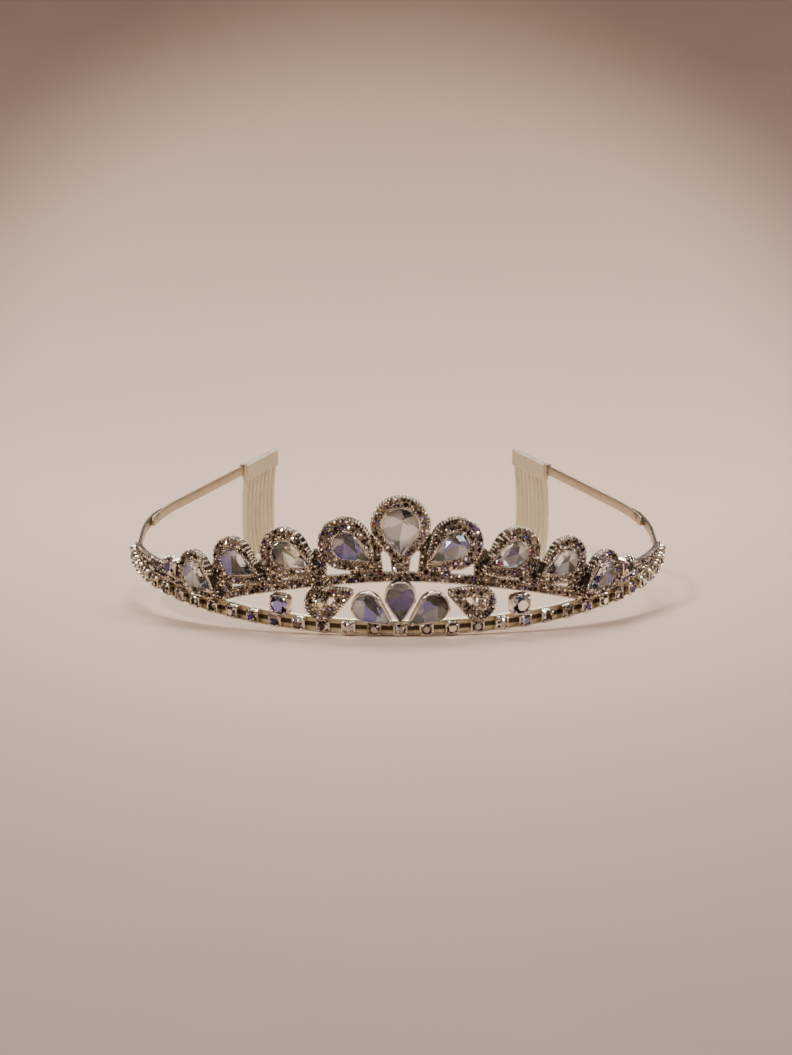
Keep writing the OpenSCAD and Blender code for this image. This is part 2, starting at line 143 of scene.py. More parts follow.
# A piece of the tiara: shape in the band's frame, its finish, what it stands for
def makePiece(name, shape, finish, stands=(), colours=None, edge=None, smoothAngle=35):
    points, faces = shape
    mesh = bpy.data.meshes.new(name)
    mesh.from_pydata(toWorld(points).tolist(), [], faces)
    mesh.materials.append(finish)
    if smoothAngle:
        mesh.shade_smooth()
        mesh.set_sharp_from_angle(angle=math.radians(smoothAngle))
    else:
        mesh.shade_flat()
    # facet colours hold painted reflections, one colour per face
    if colours is not None:
        layer = mesh.attributes.new("facetPaintedReflection", "FLOAT_COLOR", "CORNER")
        sizes = np.array([len(f) for f in faces])
        rgba = np.concatenate([colours, np.ones((len(faces), 1))], 1)
        layer.data.foreach_set("color", np.repeat(rgba, sizes, 0).astype(np.float32).ravel())
    # edge holds the painted shade along edges and grooves, one value per point
    if edge is not None:
        layer = mesh.attributes.new("paintedShadeLine", "FLOAT", "POINT")
        layer.data.foreach_set("value", edge.astype(np.float32).ravel())
    mesh.validate()
    piece = addObject(name, mesh)
    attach(piece, "root")
    if stands:
        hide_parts(*stands)
    return piece


# ---- camera

cameraSet = {
    "distance": 0.8,
    "aboveBand": 17.0,        # degrees over the band's own plane
    "turn": -0.5,             # degrees round the band's axis
    "aimUp": 6.6 * mm,
    "aimSide": -0.5 * mm,
    "lens": 100.5,
    "sensor": 36,
    "clip": (0.01, 20),
}


def makeCamera():
    rise, turn = math.radians(cameraSet["aboveBand"]), math.radians(cameraSet["turn"])
    level = math.cos(rise)
    away = np.array([math.sin(turn) * level, -math.cos(turn) * level, math.sin(rise)]) @ bandAxes
    aim = toWorld(np.array([cameraSet["aimSide"], 0, cameraSet["aimUp"]]))
    data = bpy.data.cameras.new("camera")
    data.lens = cameraSet["lens"]
    data.sensor_width = cameraSet["sensor"]
    data.clip_start, data.clip_end = cameraSet["clip"]
    camera = addObject("camera", data)
    camera.location = Vector(aim + away * cameraSet["distance"])
    camera.rotation_mode = "QUATERNION"
    camera.rotation_quaternion = Vector(-away).to_track_quat("-Z", "Y")
    bpy.context.scene.camera = camera


makeCamera()
print("camera placed")

# ---- finishes


def newGroup(name, inputs, outputs):
    group = bpy.data.node_groups.new(name, "ShaderNodeTree")
    for label, kind, value in inputs:
        socket = group.interface.new_socket(label, in_out="INPUT", socket_type=kind)
        socket.default_value = value
    for label, kind in outputs:
        group.interface.new_socket(label, in_out="OUTPUT", socket_type=kind)
    return group, group.nodes.new("NodeGroupInput"), group.nodes.new("NodeGroupOutput")


def addNode(tree, kind, links=None, **values):
    node = tree.nodes.new(kind)
    for key, value in values.items():
        if hasattr(node, key):
            setattr(node, key, value)
        else:
            node.inputs[key.replace("_", " ")].default_value = value
    for socket, source in (links or {}).items():
        tree.links.new(source, node.inputs[socket])
    return node


def setInputs(node, values):
    for label, value in values.items():
        node.inputs[label].default_value = value


# Carries a value from one range to another
def remap(tree, source, fromRange=(0.0, 1.0), toRange=(0.0, 1.0), **values):
    node = addNode(tree, "ShaderNodeMapRange", {"Value": source}, **values)
    for label, ends in (("From", fromRange), ("To", toRange)):
        setInputs(node, {label + " Min": ends[0], label + " Max": ends[1]})
    return node.outputs[0]


tarnishSet = {"specks": 9.0, "spread": (0.42, 0.68)}    # specks to one cloud, and the clouds' own range


# Slow clouds and fine specks that darken and dull a plated surface
def makeTarnish():
    group, given, out = newGroup(
        "tarnish",
        [("Scale", "NodeSocketFloat", 300.0), ("Amount", "NodeSocketFloat", 0.4)],
        [("Mask", "NodeSocketFloat"), ("Height", "NodeSocketFloat")],
    )
    where = addNode(group, "ShaderNodeTexCoord").outputs["Object"]
    scale = given.outputs["Scale"]
    cloud = addNode(group, "ShaderNodeTexNoise", {"Vector": where, "Scale": scale}, Detail=6.0, Roughness=0.62)
    fineScale = addNode(group, "ShaderNodeMath", {0: scale}, operation="MULTIPLY")
    fineScale.inputs[1].default_value = tarnishSet["specks"]
    speck = addNode(group, "ShaderNodeTexNoise", {"Vector": where, "Scale": fineScale.outputs[0]}, Detail=3.0)
    spread = remap(group, cloud.outputs["Fac"], tarnishSet["spread"])
    mask = addNode(group, "ShaderNodeMath", {0: spread, 1: given.outputs["Amount"]}, operation="MULTIPLY")
    group.links.new(mask.outputs[0], out.inputs["Mask"])
    group.links.new(speck.outputs["Fac"], out.inputs["Height"])
    return group


# Fine lines that follow the band, from a noise stretched in plan
def makeGrain():
    group, given, out = newGroup(
        "drawnGrain",
        [("Scale", "NodeSocketFloat", 900.0), ("Stretch", "NodeSocketFloat", 9.0)],
        [("Lines", "NodeSocketFloat")],
    )
    where = addNode(group, "ShaderNodeTexCoord").outputs["Object"]
    parts = addNode(group, "ShaderNodeSeparateXYZ", {"Vector": where}).outputs
    tall = addNode(group, "ShaderNodeMath", {0: parts["Z"], 1: given.outputs["Stretch"]}, operation="MULTIPLY")
    stretched = addNode(
        group, "ShaderNodeCombineXYZ", {"X": parts["X"], "Y": parts["Y"], "Z": tall.outputs[0]}).outputs[0]
    noise = addNode(group, "ShaderNodeTexNoise", {"Vector": stretched, "Scale": given.outputs["Scale"]},
                    Detail=4.0, Roughness=0.55)
    group.links.new(noise.outputs["Fac"], out.inputs["Lines"])
    return group


tarnish = makeTarnish()
drawnGrain = makeGrain()


def newFinish(name):
    material = bpy.data.materials.new(name)
    material.use_nodes = True
    return material, material.node_tree, material.node_tree.nodes["Principled BSDF"]


def useGroup(tree, group, **values):
    node = tree.nodes.new("ShaderNodeGroup")
    node.node_tree = group
    setInputs(node, values)
    return node


def mixColours(tree, mask, first, second):
    node = addNode(tree, "ShaderNodeMix", data_type="RGBA")
    tree.links.new(mask, node.inputs["Factor"])
    a = next(s for s in node.inputs if s.identifier == "A_Color")
    b = next(s for s in node.inputs if s.identifier == "B_Color")
    for socket, value in ((a, first), (b, second)):
        if isinstance(value, tuple):
            socket.default_value = (*value, 1)
        else:
            tree.links.new(value, socket)
    return next(s for s in node.outputs if s.identifier == "Result_Color")


# line is the dark colour of painted shade, in the rail's groove and along the strips' top and foot edges
metalSet = {
    "railPlating": {
        "clean": (0.54, 0.49, 0.34), "dull": (0.26, 0.22, 0.14), "line": (0.06, 0.045, 0.03),
        "rough": (0.16, 0.40), "amount": 0.6, "bump": 0.05},
    "bedPlating": {
        "clean": (0.20, 0.165, 0.13), "dull": (0.03, 0.022, 0.018),
        "rough": (0.2, 0.42), "amount": 0.9, "bump": 0.25},
    "clawPlating": {
        "clean": (0.90, 0.86, 0.78), "dull": (0.16, 0.13, 0.10),
        "rough": (0.04, 0.18), "amount": 0.9, "bump": 0.04},
    "beadPlating": {
        "clean": (0.70, 0.62, 0.50), "dull": (0.07, 0.05, 0.04),
        "rough": (0.06, 0.22), "amount": 0.9, "bump": 0.0},
    "armPlating": {
        "clean": (0.88, 0.81, 0.62), "dull": (0.58, 0.51, 0.35), "line": (0.30, 0.24, 0.16),
        "rough": (0.3, 0.5), "amount": 0.6, "bump": 0.06},
    "dullPlating": {
        "clean": (0.60, 0.54, 0.42), "dull": (0.26, 0.22, 0.16),
        "rough": (0.3, 0.5), "amount": 0.7, "bump": 0.1},
}
bumpDepth = 0.2 * mm


def makeMetal(name):
    values = metalSet[name]
    material, tree, shader = newFinish(name)
    wear = useGroup(tree, tarnish, Scale=260.0, Amount=values["amount"])
    lines = useGroup(tree, drawnGrain, Scale=700.0, Stretch=10.0).outputs["Lines"]
    colour = mixColours(tree, wear.outputs["Mask"], values["clean"], values["dull"])
    # painted shade: where a piece marks it, the colour darkens towards the line colour
    if "line" in values:
        line = addNode(tree, "ShaderNodeAttribute", attribute_name="paintedShadeLine")
        colour = mixColours(tree, line.outputs["Fac"], colour, values["line"])
    tree.links.new(colour, shader.inputs["Base Color"])
    shader.inputs["Metallic"].default_value = 1.0
    tree.links.new(remap(tree, lines, (0.3, 0.7), values["rough"]), shader.inputs["Roughness"])
    if values["bump"]:
        heights = addNode(tree, "ShaderNodeMath", {0: lines, 1: wear.outputs["Height"]}, operation="ADD")
        bump = addNode(tree, "ShaderNodeBump", {"Height": heights.outputs[0]},
                       Strength=values["bump"], Distance=bumpDepth)
        tree.links.new(bump.outputs[0], shader.inputs["Normal"])
    return material


foilSet = {
    "paveFoil": {"rough": (0.02, 0.10), "metal": 0.92},
    "stoneFoil": {"rough": (0.16, 0.26), "metal": 0.6},
}


# Foiled glass: each facet carries a painted reflection, a fixed colour standing for what the foil throws back
def makeFoil(name):
    material, tree, shader = newFinish(name)
    facet = addNode(tree, "ShaderNodeAttribute", attribute_name="facetPaintedReflection")
    wear = useGroup(tree, tarnish, Scale=300.0, Amount=0.08)
    colour = mixColours(tree, wear.outputs["Mask"], facet.outputs["Color"], (0.05, 0.045, 0.05))
    tree.links.new(colour, shader.inputs["Base Color"])
    rough = remap(tree, wear.outputs["Height"], toRange=foilSet[name]["rough"])
    tree.links.new(rough, shader.inputs["Roughness"])
    setInputs(shader, {"Metallic": foilSet[name]["metal"], "Specular IOR Level": 0.25, "IOR": 1.6})
    return material


glassSet = {"clear": (0.97, 0.975, 0.98), "cloud": (0.90, 0.90, 0.95), "rough": (0.0, 0.03), "index": 1.52}


def makeCrownGlass():
    material, tree, shader = newFinish("crownGlass")
    wear = useGroup(tree, tarnish, Scale=500.0, Amount=0.5)
    colour = mixColours(tree, wear.outputs["Mask"], glassSet["clear"], glassSet["cloud"])
    tree.links.new(colour, shader.inputs["Base Color"])
    tree.links.new(remap(tree, wear.outputs["Height"], toRange=glassSet["rough"]), shader.inputs["Roughness"])
    setInputs(shader, {"Transmission Weight": 1.0, "IOR": glassSet["index"]})
    return material


plasticSet = {
    "body": (0.55, 0.495, 0.34), "shade": (0.41, 0.36, 0.225), "flow": (0.66, 0.615, 0.455),
    "rough": (0.16, 0.42), "bump": 0.05, "reach": (0.004, 0.0035, 0.0025),
}


def makeCombPlastic():
    material, tree, shader = newFinish("combPlastic")
    wear = useGroup(tree, tarnish, Scale=120.0, Amount=0.8)
    flow = useGroup(tree, drawnGrain, Scale=220.0, Stretch=0.12).outputs["Lines"]
    body = mixColours(tree, wear.outputs["Mask"], plasticSet["body"], plasticSet["shade"])
    body = mixColours(tree, flow, body, plasticSet["flow"])
    tree.links.new(body, shader.inputs["Base Color"])
    tree.links.new(remap(tree, flow, toRange=plasticSet["rough"]), shader.inputs["Roughness"])
    bump = addNode(tree, "ShaderNodeBump", {"Height": flow}, Strength=plasticSet["bump"], Distance=bumpDepth)
    tree.links.new(bump.outputs[0], shader.inputs["Normal"])
    setInputs(shader, {"Transmission Weight": 0.12, "IOR": 1.46, "Subsurface Weight": 0.5,
                       "Subsurface Radius": plasticSet["reach"], "Subsurface Scale": 1.0})
    return material


# middle and rim are the lit and shaded tones of a painted light pool; fall is where its painted shade sets in
# and where it ends
paintedPoolSet = {
    "middle": (0.83, 0.615, 0.46), "rim": (0.31, 0.22, 0.175), "mottle": (0.62, 0.49, 0.47),
    "location": (0.0, -0.80, 0.0), "scale": (4.2, 1.0, 4.6), "fall": (0.72, 1.3), "mottled": (0.0, 0.12),
}


# A soft painted pool of light round the middle of the stage, its tone sinking into painted shade towards its rim
def makePaintedPoolPaper():
    material, tree, shader = newFinish("backdropPaintedPool")
    where = addNode(tree, "ShaderNodeTexCoord").outputs["Object"]
    centre = addNode(tree, "ShaderNodeMapping", {"Vector": where})
    setInputs(centre, {"Location": paintedPoolSet["location"], "Scale": paintedPoolSet["scale"]})
    reach = addNode(tree, "ShaderNodeVectorMath", {0: centre.outputs[0]}, operation="LENGTH")
    # painted shade: the tone darkens from the lit middle towards the rim
    fall = remap(tree, reach.outputs["Value"], paintedPoolSet["fall"], interpolation_type="SMOOTHSTEP")
    mottle = addNode(tree, "ShaderNodeTexNoise", {"Vector": where}, Scale=24.0, Detail=5.0)
    colour = mixColours(tree, fall, paintedPoolSet["middle"], paintedPoolSet["rim"])
    tint = remap(tree, mottle.outputs["Fac"], toRange=paintedPoolSet["mottled"])
    colour = mixColours(tree, tint, colour, paintedPoolSet["mottle"])
    tree.links.new(colour, shader.inputs["Base Color"])
    setInputs(shader, {"Roughness": 0.9, "Specular IOR Level": 0.2})
    return material


# Gives a node that stays in view its own finish
def refinish(name, finish):
    nodes[name].data.materials.clear()
    nodes[name].data.materials.append(finishes[finish])


finishes = {name: makeMetal(name) for name in metalSet}
paveFoil, stoneFoil = (makeFoil(name) for name in foilSet)
crownGlass = makeCrownGlass()
combPlastic = makeCombPlastic()
print("finishes made")

# ---- cut stones

# Colours of painted reflections on stone facets: bright ones are painted glints, dark ones painted dark
# reflections, the tinted ones painted coloured fire
paintedReflectionTones = {
    "white": (0.97, 0.96, 0.93), "cream": (0.92, 0.83, 0.60), "pale": (0.50, 0.51, 0.48),
    "sage": (0.17, 0.20, 0.155), "taupe": (0.22, 0.175, 0.145), "umber": (0.05, 0.036, 0.028),
    "charcoal": (0.012, 0.012, 0.015), "periwinkle": (0.27, 0.26, 0.60), "violet": (0.085, 0.06, 0.24),
    "magenta": (0.50, 0.03, 0.085), "gold": (0.62, 0.50, 0.20),
}


def pickPaintedReflections(weights, count, rng):
    names = list(weights)
    share = np.array([weights[n] for n in names], float)
    picked = rng.choice(len(names), count, p=share / share.sum())
    colours = np.array([paintedReflectionTones[n] for n in names])[picked]
    return colours * rng.uniform(0.8, 1.15, (count, 1))


# A brilliant cut over any girdle line: a table, a middle ring of points, the girdle, and a keel below.
# The line has two points to each side facet; rings are the line drawn in towards its centre.
def crownCut(line, centre, height, table=0.58, middle=0.8, base=0.0):
    count = len(line) // 2
    even, odd = np.arange(0, 2 * count, 2), np.arange(1, 2 * count, 2)
    tableRing = centre + (line[odd] - centre) * table
    middleRing = centre + (line[even] - centre) * middle
    points = np.concatenate([
        atLevel(line, base), atLevel(middleRing, base + height * 0.62), atLevel(tableRing, base + height)])
    g, m, t = 0, 2 * count, 3 * count
    faces = [[t + j for j in range(count)]]
    for j in range(count):
        before, after = (j - 1) % count, (j + 1) % count
        faces.append([t + before, m + j, t + j])
        faces.append([t + j, m + j, g + 2 * j + 1, m + after])
        faces.append([m + j, g + (2 * j - 1) % (2 * count), g + 2 * j])
        faces.append([m + j, g + 2 * j, g + 2 * j + 1])
    return points, faces


# The part below the girdle: one large facet for every two points of the line, all meeting on a
# short keel. Facets above the middle go to the keel's upper end and the others to its foot.
def keelCut(line, upper, foot, depth, base=0.0):
    count = len(line) // 2
    points = np.concatenate([atLevel(line, base), [[*upper, base - depth], [*foot, base - depth]]])
    high, low = len(line), len(line) + 1
    ends = np.where(line[::2, 1] > (upper[1] + foot[1]) / 2, high, low)
    faces = []
    for j in range(count):
        first, last = ends[j], ends[(j + 1) % count]
        tops = [2 * j, 2 * j + 1, (2 * j + 2) % len(line)]
        faces.append(tops[::-1] + ([first] if first == last else [first, last]))
    return points, [[int(v) for v in f] for f in faces]


def ringLine(radius, count):
    a = np.arange(count) / count * 2 * math.pi
    return np.stack([np.cos(a), np.sin(a)], -1) * radius


# A pear is a circle that slides down to its tip while it shrinks. Points are evenly spaced round the
# touching line, from the top of the round end; grow moves them outwards.
def pearLine(pear, count, grow=0.0, tip=0.35 * mm):
    r, tipDown = pear["radius"], pear["length"] - tip
    lean = math.asin((r - tip) / tipDown)
    straight = tipDown * math.cos(lean)
    bend = (r + grow) * (math.pi / 2 + lean)
    runs = np.cumsum([0, bend, straight, (tip + grow) * (math.pi - 2 * lean), straight, bend])
    t = np.arange(count) / count * runs[-1]
    turns = np.array([
        0.5 * math.pi, math.pi + lean, math.pi + lean, 2 * math.pi - lean, 2 * math.pi - lean, 2.5 * math.pi])
    angle = np.interp(t, runs, turns)
    slide = np.interp(t, runs, [0, 0, 1, 1, 0, 0])
    normal = np.stack([np.cos(angle), np.sin(angle)], -1)
    centre = np.stack([0 * slide, -tipDown * slide], -1)
    return centre + (r + (tip - r) * slide + grow)[:, None] * normal, normal


# The outward axis of a flat piece, from its largest upright face, and the level axis along it
def facing(points, tris):
    first, second, third = (points[tris[:, i]] for i in range(3))
    cross = np.cross(second - first, third - first)
    area = np.linalg.norm(cross, axis=1)
    upright = np.abs(cross[:, 2]) < 1e-3 * area
    out = unit(cross[upright][np.argmax(area[upright])])
    out = out * np.sign(out @ (points.mean(0) * [1, 1, 0]))
    return out, np.cross(upward, out)


# Reads a pear stone's place from its node. Its flat top gives the outward axis; the girdle line's
# own long axis gives the lean; the top point and the widest point give the circle of the round end.
def readPear(stone, setting):
    points, tris = nodeShape(stone)
    out, along = facing(points, tris)
    level = points @ out
    girdle = level[level < level.max() - 0.3 * mm].max()
    ring = points[np.abs(level - girdle) < 0.02 * mm]
    flat = np.unique(np.round(np.stack([ring @ along, ring[:, 2]], -1), 7), axis=0)
    middle = flat.mean(0)
    axis = np.linalg.eigh(np.cov((flat - middle).T))[1][:, 1]
    run = (flat - middle) @ axis
    width = np.abs((flat - middle) @ [-axis[1], axis[0]])
    if width[run > 0].mean() < width[run < 0].mean():
        axis, run = -axis, -run
    widest = np.argmax(width)
    drop = run.max() - run[widest]
    radius = (drop ** 2 + width[widest] ** 2) / (2 * drop)
    centre = middle + axis * (run.max() - radius)
    upAxis = along * axis[0] + upward * axis[1]
    deck = (nodeShape(setting)[0] @ out).min()
    return {
        "axes": np.stack([np.cross(upAxis, out), upAxis, out]),
        "origin": along * centre[0] + upward * centre[1] + out * deck,
        "radius": radius, "length": run.max() - radius - run.min(), "girdle": girdle - deck,
    }


def inPlace(shape, place):
    return place["origin"] + shape[0] @ place["axes"], shape[1]


# ---- pear stones in their claw cups

# Painted reflection tones on the foil facets go round each stone from the top of its round end: left side, tip,
# right side
pearSet = {
    "sides": 8,
    "crown": 0.36,            # height over half width
    "table": 0.66,
    "middle": 0.86,           # the crown's middle points, as a share of the outline
    "centre": -0.28,          # middle of the facets, as a share of the length
    "keelTop": (0.12, 0.25),  # ends of the keel, as shares of the half width or the length
    "keelFoot": (-0.05, -0.5),
    "keelDepth": 0.45,        # share of the room under the girdle
    "skirt": 0.42 * mm,       # height of the straight wall under the girdle
    "reflectionTones": {
        "center": "pale white pale sage white white pale charcoal",
        "left_1": "pale violet periwinkle sage white charcoal charcoal taupe",
        "left_2": "charcoal taupe cream white sage taupe charcoal sage",
        "left_3": "periwinkle periwinkle charcoal sage white sage charcoal pale",
        "left_4": "periwinkle white white sage pale charcoal taupe white",
        "right_1": "charcoal charcoal periwinkle magenta sage pale white periwinkle",
        "right_2": "white charcoal violet taupe magenta pale sage pale",
        "right_3": "white sage violet pale magenta pale charcoal pale",
        "right_4": "periwinkle periwinkle violet magenta violet pale periwinkle charcoal",
        "lower_center": "pale sage violet sage umber violet periwinkle cream",
        "lower_left": "white pale periwinkle white sage charcoal charcoal pale",
        "lower_right": "charcoal charcoal periwinkle magenta sage pale sage umber",
    },
}
clawSet = {
    "wall": 0.45 * mm, "angles": (-15, 50, 130, 195), "wire": 0.2 * mm, "gap": 0.24 * mm, "over": 0.55 * mm,
}


# A wire bent over a girdle: it climbs the wall, leans in over the stone and ends in a round point
def clawWire(foot, inward, lateral, height, wire, over):
    path = np.array([
        [0.0, 0.1], [0.0, 0.45], [0.0, 0.8], [-0.12, 1.0], [-0.55, 1.13], [-1.0, 1.2], [-1.12, 1.2]])
    reach = np.stack([-path[:, 0] * over, path[:, 1] * height], -1)
    thick = wire * np.array([1, 1, 1, 1, 0.95, 0.75, 0.2])
    slope = np.gradient(reach, axis=0)
    slope /= np.linalg.norm(slope, axis=1, keepdims=True)
    a = np.arange(8) / 8 * 2 * math.pi
    centre = foot + reach[:, :1] * inward + reach[:, 1:] * upward
    across = np.cross(inward, upward)
    normal = slope[:, 1:] * inward - slope[:, :1] * upward
    ring = np.cos(a)[None, :, None] * across + np.sin(a)[None, :, None] * normal[:, None]
    return tube(centre[:, None] + across * lateral + ring * thick[:, None, None])


def pearSetting(pear):
    wall = clawSet["wall"]
    top = pear["girdle"]
    # offsets from the stone's line, and heights, round the closed section of the wall
    section = np.array([
        [0.30, 0.0], [0.42, 0.08], [0.45, 0.25], [0.40, 0.9], [0.40, 1.3], [0.47, 1.75], [0.44, 2.0],
        [0.30, 2.12], [0.12, 2.16], [-0.10, 2.12], [-0.40, 1.9], [-0.45, 1.2], [-0.45, 0.2], [-0.40, 0.0]]) * mm
    section[:, 0] *= wall / (0.45 * mm)
    section[:, 1] *= top / (2.65 * mm)
    line, normal = pearLine(pear, 64)
    grid = np.empty((64, len(section), 3))
    grid[..., :2] = line[:, None] + normal[:, None] * section[None, :, :1]
    grid[..., 2] = section[:, 1]
    grid = grid[:, ::-1]
    ring = (grid.reshape(-1, 3), gridFaces(64, len(section), closedRows=True).tolist())
    plate = np.stack([atLevel(line * 0.93, z) for z in (0.1 * mm, 0.4 * mm)])
    shapes = [ring, tube(plate)]
    spots = []
    for degrees in clawSet["angles"]:
        a = math.radians(degrees)
        direction = np.array([math.cos(a), math.sin(a), 0])
        spots.append((direction * (pear["radius"] + 0.7 * wall), -direction))
    spots.append((np.array([0, -pear["length"] - 0.7 * wall, 0]), np.array([0, 1.0, 0])))
    for foot, inward in spots:
        for lateral in (-clawSet["gap"], clawSet["gap"]):
            shapes.append(clawWire(foot, inward, lateral, top * 1.02, clawSet["wire"], clawSet["over"]))
    return joined(shapes)


def makePears():
    rng = np.random.default_rng(11)
    for label, reflectionTones in pearSet["reflectionTones"].items():
        kind = "lower_" if label.startswith("lower_") else ""
        place = label.removeprefix("lower_")
        stone, setting = kind + "stone_" + place, kind + "setting_" + place
        pear = readPear(stone, setting)
        r, length = pear["radius"], pear["length"]
        line = pearLine(pear, 2 * pearSet["sides"])[0]
        n = len(line)
        centre = np.array([0, pearSet["centre"] * length])
        under = pear["girdle"] - pearSet["skirt"]
        inner = centre + (line - centre) * 0.96
        keelTop = [pearSet["keelTop"][0] * r, pearSet["keelTop"][1] * r]
        keelFoot = [pearSet["keelFoot"][0] * r, pearSet["keelFoot"][1] * length]
        foil = keelCut(inner, keelTop, keelFoot, pearSet["keelDepth"] * under, base=under)
        # painted reflections: each foil facet gets a painted glint or painted dark reflection
        paintedFoilReflections = np.array([paintedReflectionTones[t] for t in reflectionTones.split()]) * rng.uniform(0.85, 1.1, (len(foil[1]), 1))
        makePiece("foil_" + label, inPlace(foil, pear), stoneFoil, colours=paintedFoilReflections, smoothAngle=0)
        crown = crownCut(line, centre, pearSet["crown"] * r, pearSet["table"], pearSet["middle"], pear["girdle"])
        skirt = np.concatenate([crown[0], atLevel(line, under - 0.02 * mm)])
        base = len(crown[0])
        sides = [[j, base + j, base + (j + 1) % n, (j + 1) % n] for j in range(n)]
        closed = (skirt, crown[1] + sides + [[base + j for j in range(n)][::-1]])
        makePiece("crown_" + label, inPlace(closed, pear), crownGlass, (stone,), smoothAngle=0)
        makePiece("claws_" + label, inPlace(pearSetting(pear), pear),
                  finishes["clawPlating"], (setting,))


makePears()
print("pear stones set")

# ---- small stones in round cups

cupWall = 0.3 * mm
# each kind's reflectionTones weigh the painted reflection colours on its facets
roundSet = {
    "rail": {"cups": "rail_cups", "stones": "rail_stones", "sides": 6, "slot": "small_crystal",
             "reflectionTones": {"white": 2, "pale": 3, "taupe": 3, "umber": 3, "charcoal": 2, "cream": 2,
                       "violet": 1, "periwinkle": 0.5}},
    "spacer": {"cups": "spacer_cups", "stones": "spacer_stones", "sides": 8, "slot": "crystal",
               "reflectionTones": {"white": 2, "pale": 3, "charcoal": 3, "violet": 2, "periwinkle": 2, "sage": 1}},
    "outer": {"cups": "outer_cups", "stones": "outer_stones", "sides": 8, "slot": "crystal",
              "reflectionTones": {"white": 3, "pale": 3, "taupe": 2, "charcoal": 2, "cream": 2, "violet": 1}},
    "loop": {"cups": "loop_cups", "stones": "loop_stones", "sides": 6, "slot": "small_crystal",
             "reflectionTones": {"white": 3, "pale": 3, "taupe": 2, "cream": 1, "charcoal": 1}},
}


# Splits a node of equal solids into its solids and gives each one's middle, outward axis and size
def readRounds(name):
    points, tris = nodeShape(name)
    angle = np.arctan2(points[:, 0], -points[:, 1]) * bandSet["radius"]
    flat = np.stack([angle, points[:, 2]], -1)
    order = np.argsort(flat[:, 0])
    steps = np.diff(flat[order, 0])
    cuts = np.where(steps > 0.8 * mm)[0] + 1
    rounds = []
    for part in np.split(order, cuts):
        s = (flat[part, 0].min() + flat[part, 0].max()) / 2
        axes = frontAxes(s)
        local = points[part] @ axes.T
        middle = (local.min(0) + local.max(0)) / 2
        size = local.max(0) - local.min(0)
        rounds.append({"axes": axes, "origin": middle @ axes, "low": local[:, 2].min() - middle[2],
                       "high": local[:, 2].max() - middle[2], "width": size[0]})
    return rounds


# A small cup, slightly square in plan: its section is carried round the stone, with four claws
def cupShape(radius, wall, height):
    a = np.arange(32) / 32 * 2 * math.pi
    square = 1 + 0.2 * (1 - np.cos(4 * a)) / 2
    section = np.array([
        [0.75, 0.0], [0.98, 0.06], [1.0, 0.3], [0.93, 0.6], [1.0, 0.92], [0.9, 1.0], [0.72, 0.98],
        [0.55, 0.5], [0.5, 0.0]])
    outer = radius + wall
    grid = np.empty((32, len(section), 3))
    grid[..., 0] = np.cos(a)[:, None] * square[:, None] * section[:, 0] * outer
    grid[..., 1] = np.sin(a)[:, None] * square[:, None] * section[:, 0] * outer
    grid[..., 2] = section[:, 1] * height
    shapes = [(grid[:, ::-1].reshape(-1, 3), gridFaces(32, len(section), closedRows=True).tolist())]
    for k in range(4):
        turn = math.pi / 4 + k * math.pi / 2
        direction = np.array([math.cos(turn), math.sin(turn), 0])
        foot = direction * (radius + wall * 1.35)
        shapes.append(clawWire(foot, -direction, 0, height * 1.1, wall * 1.4, wall * 2.1))
    return joined(shapes)


def makeRounds():
    rng = np.random.default_rng(23)
    for label, values in roundSet.items():
        cups = readRounds(values["cups"])
        stones = readRounds(values["stones"])
        radius = stones[0]["width"] / 2
        low = np.array([c["origin"] + c["axes"][2] * c["low"] for c in cups])
        axes = np.array([c["axes"] for c in cups])
        topLevel = np.array([s["origin"] + s["axes"][2] * s["high"] for s in stones])
        height = float(np.einsum("nk,nk->n", topLevel - low, axes[:, 2])[0]) - 0.16 * 2 * radius
        makePiece(label + "Cups", copies(cupShape(radius, cupWall, height), low, axes),
                  finishes["clawPlating"], (values["cups"],))
        line = ringLine(radius, 2 * values["sides"])
        centre = np.zeros(2)
        crown = crownCut(line, centre, 0.34 * radius, base=height)
        cut = joined([crown, keelCut(line, centre, centre, 0.8 * height, height)])
        turned = np.array([np.stack([math.cos(t) * x + math.sin(t) * y, math.cos(t) * y - math.sin(t) * x, z])
                           for (x, y, z), t in zip(axes, rng.uniform(0, 1, len(axes)))])
        shape = copies(cut, low, turned)
        # the facets carry painted reflections: painted glints and painted dark reflections
        makePiece(label + "Stones", shape, paveFoil, (values["stones"],),
                  colours=pickPaintedReflections(values["reflectionTones"], len(shape[1]), rng), smoothAngle=0)


makeRounds()
print("round stones set")

# ---- pave: small stones in rows that follow each bed's outline

paveSet = {
    "size": 1.4 * mm,         # stone width
    "pitch": 1.46 * mm,
    "inset": 0.62 * mm,       # first row's distance from the edge
    "small": 0.92 * mm,       # stones that fill the gaps
    "bead": 0.23 * mm,        # radius of the raised grains
    "beds": ["halo_center"] + [f"halo_{side}_{i}" for side in ("left", "right") for i in (1, 2, 3, 4)]
            + ["loop_left", "loop_right", "arch_rail", "arch_stem", "leaf_left", "leaf_right"],
    "grain": 0.36 * mm,       # radius of the grains along a bed's rim
    "rims": (0.02 * mm, -0.75 * mm, -1.45 * mm),    # levels of the rows of grains, from the face down
    "edgeStep": 0.15 * mm,    # places tried along an edge for stones
    "rimStep": 0.12 * mm,     # and for grains
    # weights of the painted reflection colours: painted glints, painted dark reflections and painted coloured
    # fire
    "reflectionTones": {"white": 3.6, "cream": 1.4, "gold": 0.3, "pale": 1.4, "taupe": 2.4, "umber": 6,
              "charcoal": 4.5, "periwinkle": 0.5, "violet": 0.8, "magenta": 0.08},
}


